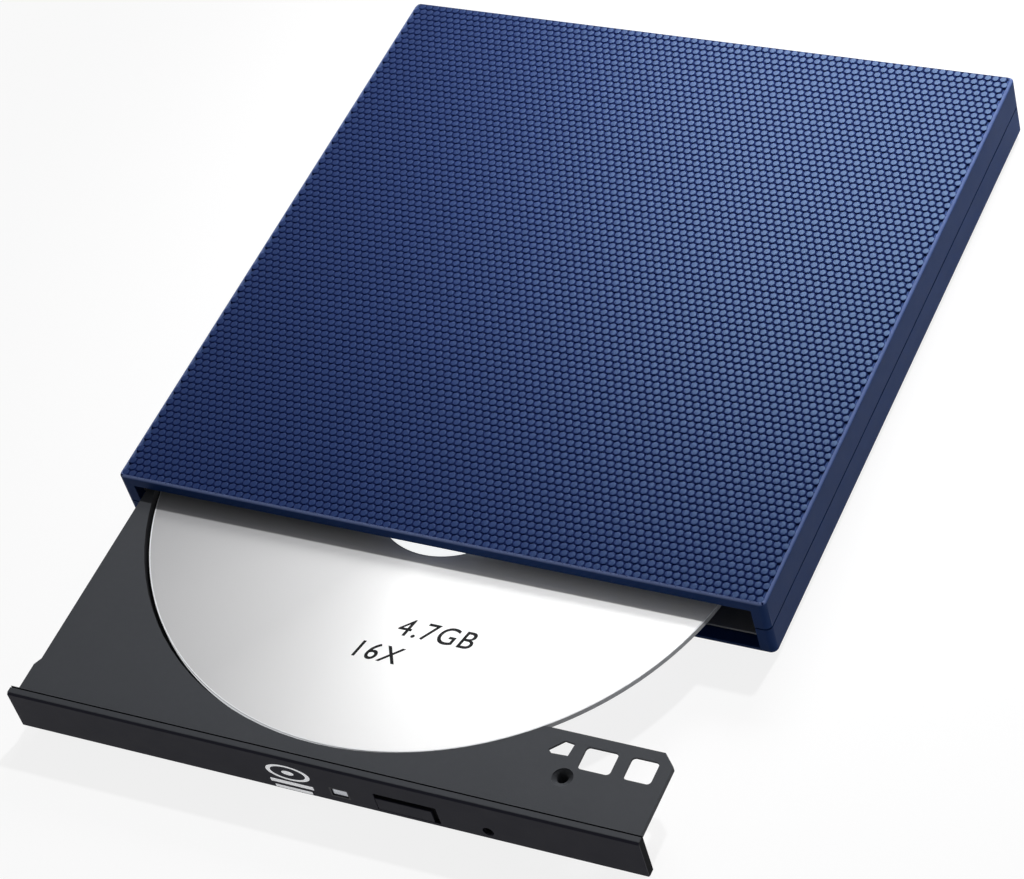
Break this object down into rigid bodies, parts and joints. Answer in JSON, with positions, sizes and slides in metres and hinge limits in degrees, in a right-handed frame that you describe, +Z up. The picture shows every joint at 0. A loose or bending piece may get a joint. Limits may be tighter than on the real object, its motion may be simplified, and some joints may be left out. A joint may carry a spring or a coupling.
{
  "type": "external disc drive",
  "caption": "Slim external optical disc drive: flat bump-textured case with a sliding tray on telescoping rails, disc on its spindle and the pickup mechanism inside.",
  "frame": {"origin": "On the surface that the feet stand on, in the middle of the object's bounding box with the tray 51.4 mm out, as in the picture.", "axes": "+Z up, the tray slides out along -Y, +X to the right as seen from the front."},
  "size_m": [0.1346, 0.1898, 0.015],
  "materials": {
    "case": "glossy dark blue moulded plastic, round bumps on the lid",
    "feet": "black rubber",
    "screws": "zinc plated steel",
    "boards": "green circuit board",
    "bright_steel": "bright steel",
    "dark_steel": "dark steel",
    "black_plastic": "black plastic",
    "white_plastic": "white plastic",
    "zinc_sheet": "zinc coated sheet steel",
    "flex": "amber flexible printed circuit",
    "tray": "matt dark grey plastic with a fine grain",
    "bezel": "satin dark navy grey plastic",
    "disc": "silver printed label over a bright disc",
    "lens": "coated lens"
  },
  "bodies": {
    "case": {"top_cover": "case", "bottom_cover": "case", "foot_front_left": "feet", "foot_front_right": "feet", "foot_rear_left": "feet", "foot_rear_right": "feet", "case_screw_rear_left": "screws", "case_screw_rear_right": "screws", "bridge_board": "boards", "usb_socket": "bright_steel", "usb_tongue": "black_plastic", "data_plug": "black_plastic", "data_socket": "black_plastic", "drive_chassis": "zinc_sheet", "drive_lid": "zinc_sheet", "lid_screw_1": "screws", "lid_screw_2": "screws", "lid_screw_3": "screws", "main_board": "boards", "flex_cable": "flex", "guide_left": "black_plastic", "guide_right": "black_plastic", "latch_pin": "bright_steel"},
    "slide_rails": {"rail_left": "bright_steel", "rail_right": "bright_steel"},
    "drawer": {"tray": "tray", "tray_bottom_plate": "zinc_sheet", "bezel": "bezel", "led_window": "white_plastic", "tray_board": "boards", "eject_switch": "black_plastic", "latch_solenoid": "dark_steel", "mechanism_plate": "zinc_sheet", "spindle_motor": "dark_steel", "guide_rod_left": "bright_steel", "guide_rod_right": "bright_steel", "sled_motor": "dark_steel", "damper_1": "feet", "damper_2": "feet", "damper_3": "feet", "damper_screw_1": "screws", "damper_screw_2": "screws", "damper_screw_3": "screws"},
    "button": {"eject_button": "bezel"},
    "spindle": {"spindle_rotor": "bright_steel", "turntable_pad": "feet", "hub": "black_plastic", "disc": "disc"},
    "claw_1": {"hub_claw_1": "white_plastic"},
    "claw_2": {"hub_claw_2": "white_plastic"},
    "claw_3": {"hub_claw_3": "white_plastic"},
    "sled": {"pickup_sled": "black_plastic"},
    "objective": {"lens_holder": "black_plastic", "lens": "lens"},
    "screw": {"lead_screw": "bright_steel"},
    "latch": {"latch_lever": "black_plastic"},
    "ejector": {"ejector_pin": "white_plastic"}
  },
  "joints": [
    {"name": "tray_slide", "type": "slide", "parent": "case", "child": "drawer", "axis": [0, -1, 0], "range_m": [-0.0514, 0.0766], "deforming": ["flex_cable"]},
    {"name": "rail_slide", "type": "slide", "parent": "case", "child": "slide_rails", "axis": [0, -1, 0], "range_m": [-0.0257, 0.0383]},
    {"name": "eject_button_press", "type": "slide", "parent": "drawer", "child": "button", "axis": [0, 1, 0], "range_m": [0, 0.0005], "stiffness_N_per_m": 400},
    {"name": "spindle_spin", "type": "hinge", "parent": "drawer", "child": "spindle", "pos_m": [-0.0015, -0.02865, 0.008], "axis": [0, 0, 1], "continuous": true},
    {"name": "claw_1_press", "type": "slide", "parent": "spindle", "child": "claw_1", "axis": [0.6428, 0.766, 0], "range_m": [0, 0.0006], "stiffness_N_per_m": 100},
    {"name": "claw_2_press", "type": "slide", "parent": "spindle", "child": "claw_2", "axis": [-0.9848, 0.1736, 0], "range_m": [0, 0.0006], "stiffness_N_per_m": 100},
    {"name": "claw_3_press", "type": "slide", "parent": "spindle", "child": "claw_3", "axis": [0.342, -0.9397, 0], "range_m": [0, 0.0006], "stiffness_N_per_m": 100},
    {"name": "sled_slide", "type": "slide", "parent": "drawer", "child": "sled", "axis": [-0.6428, -0.766, 0], "range_m": [0, 0.0315]},
    {"name": "screw_spin", "type": "hinge", "parent": "drawer", "child": "screw", "pos_m": [0.01091, -0.03906, 0.00565], "axis": [-0.6428, -0.766, 0], "range_deg": [-10, 3800]},
    {"name": "lens_focus", "type": "slide", "parent": "sled", "child": "objective", "axis": [0, 0, 1], "range_m": [-0.0003, 0.0003], "stiffness_N_per_m": 100},
    {"name": "latch_lever_turn", "type": "hinge", "parent": "drawer", "child": "latch", "pos_m": [0.0535, -0.08895, 0.006], "axis": [0, 0, 1], "range_deg": [-16, 0], "stiffness_Nm_per_rad": 0.001},
    {"name": "ejector_press", "type": "slide", "parent": "case", "child": "ejector", "axis": [0, 1, 0], "range_m": [0, 0.003], "stiffness_N_per_m": 300}
  ],
  "couplings": [
    {"joint": "rail_slide", "follows": "tray_slide", "ratio": 0.5},
    {"joint": "screw_spin", "follows": "sled_slide", "rad_per_m": 2094.4}
  ]
}
